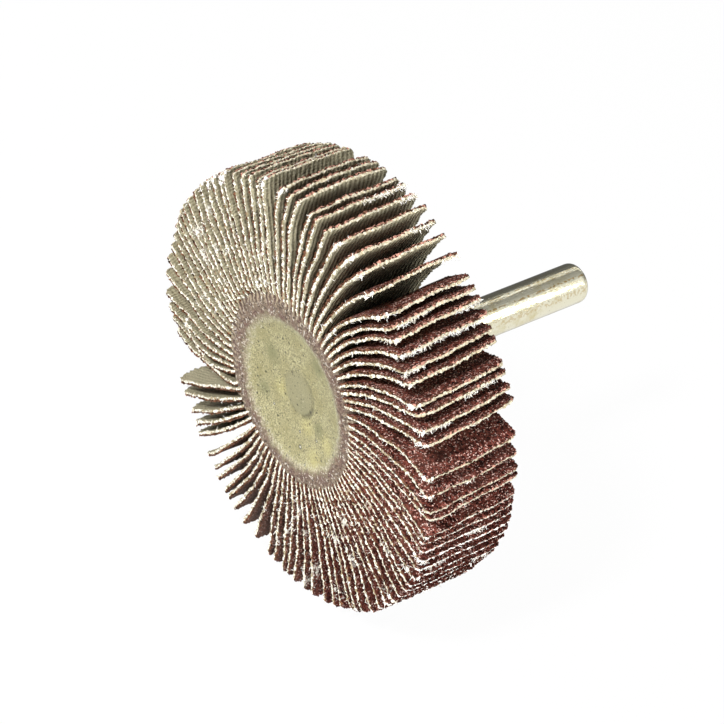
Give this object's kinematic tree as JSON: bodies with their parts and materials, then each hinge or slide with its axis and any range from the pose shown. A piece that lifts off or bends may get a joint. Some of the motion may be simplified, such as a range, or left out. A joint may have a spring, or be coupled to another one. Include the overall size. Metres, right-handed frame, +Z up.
{
  "type": "mounted flap wheel",
  "caption": "Abrasive flap wheel: bent strips of coated cloth cast in a resin hub on a round steel shank, for a drill or die grinder.",
  "frame": {"origin": "on the shank's axis, in the plane of the flaps' back edges, where the bare shank begins", "axes": "+Y along the shank to its free end, -Y is the wheel's front face, +Z up as in the picture"},
  "size_m": [0.0628, 0.051, 0.0639],
  "materials": {
    "plated_steel": "bright plated, drawn bar with long streaks and light handling marks",
    "cast_resin": "pale yellow-olive cast resin, satin, with small pits and darker smudges",
    "abrasive_cloth": "maroon-brown aluminium oxide grain on one side, grey-khaki ribbed cloth on the other, frayed cream edges"
  },
  "bodies": {
    "root": {"shank": "plated_steel", "resin_hub": "cast_resin", "flap_pair_01": "abrasive_cloth", "flap_pair_02": "abrasive_cloth", "flap_pair_03": "abrasive_cloth", "flap_pair_04": "abrasive_cloth", "flap_pair_05": "abrasive_cloth", "flap_pair_06": "abrasive_cloth", "flap_pair_07": "abrasive_cloth", "flap_pair_08": "abrasive_cloth", "flap_pair_09": "abrasive_cloth", "flap_pair_10": "abrasive_cloth", "flap_pair_11": "abrasive_cloth", "flap_pair_12": "abrasive_cloth", "flap_pair_13": "abrasive_cloth", "flap_pair_14": "abrasive_cloth", "flap_pair_15": "abrasive_cloth", "flap_pair_16": "abrasive_cloth", "flap_pair_17": "abrasive_cloth", "flap_pair_18": "abrasive_cloth", "flap_pair_19": "abrasive_cloth", "flap_pair_20": "abrasive_cloth", "flap_pair_21": "abrasive_cloth", "flap_pair_22": "abrasive_cloth", "flap_pair_23": "abrasive_cloth", "flap_pair_24": "abrasive_cloth", "flap_pair_25": "abrasive_cloth", "flap_pair_26": "abrasive_cloth", "flap_pair_27": "abrasive_cloth", "flap_pair_28": "abrasive_cloth", "flap_pair_29": "abrasive_cloth", "flap_pair_30": "abrasive_cloth", "flap_pair_31": "abrasive_cloth", "flap_pair_32": "abrasive_cloth", "flap_pair_33": "abrasive_cloth", "flap_pair_34": "abrasive_cloth", "flap_pair_35": "abrasive_cloth", "flap_pair_36": "abrasive_cloth", "flap_pair_37": "abrasive_cloth", "flap_pair_38": "abrasive_cloth", "flap_pair_39": "abrasive_cloth", "flap_pair_40": "abrasive_cloth", "flap_pair_41": "abrasive_cloth", "flap_pair_42": "abrasive_cloth", "flap_pair_43": "abrasive_cloth", "flap_pair_44": "abrasive_cloth"}
  },
  "joints": []
}
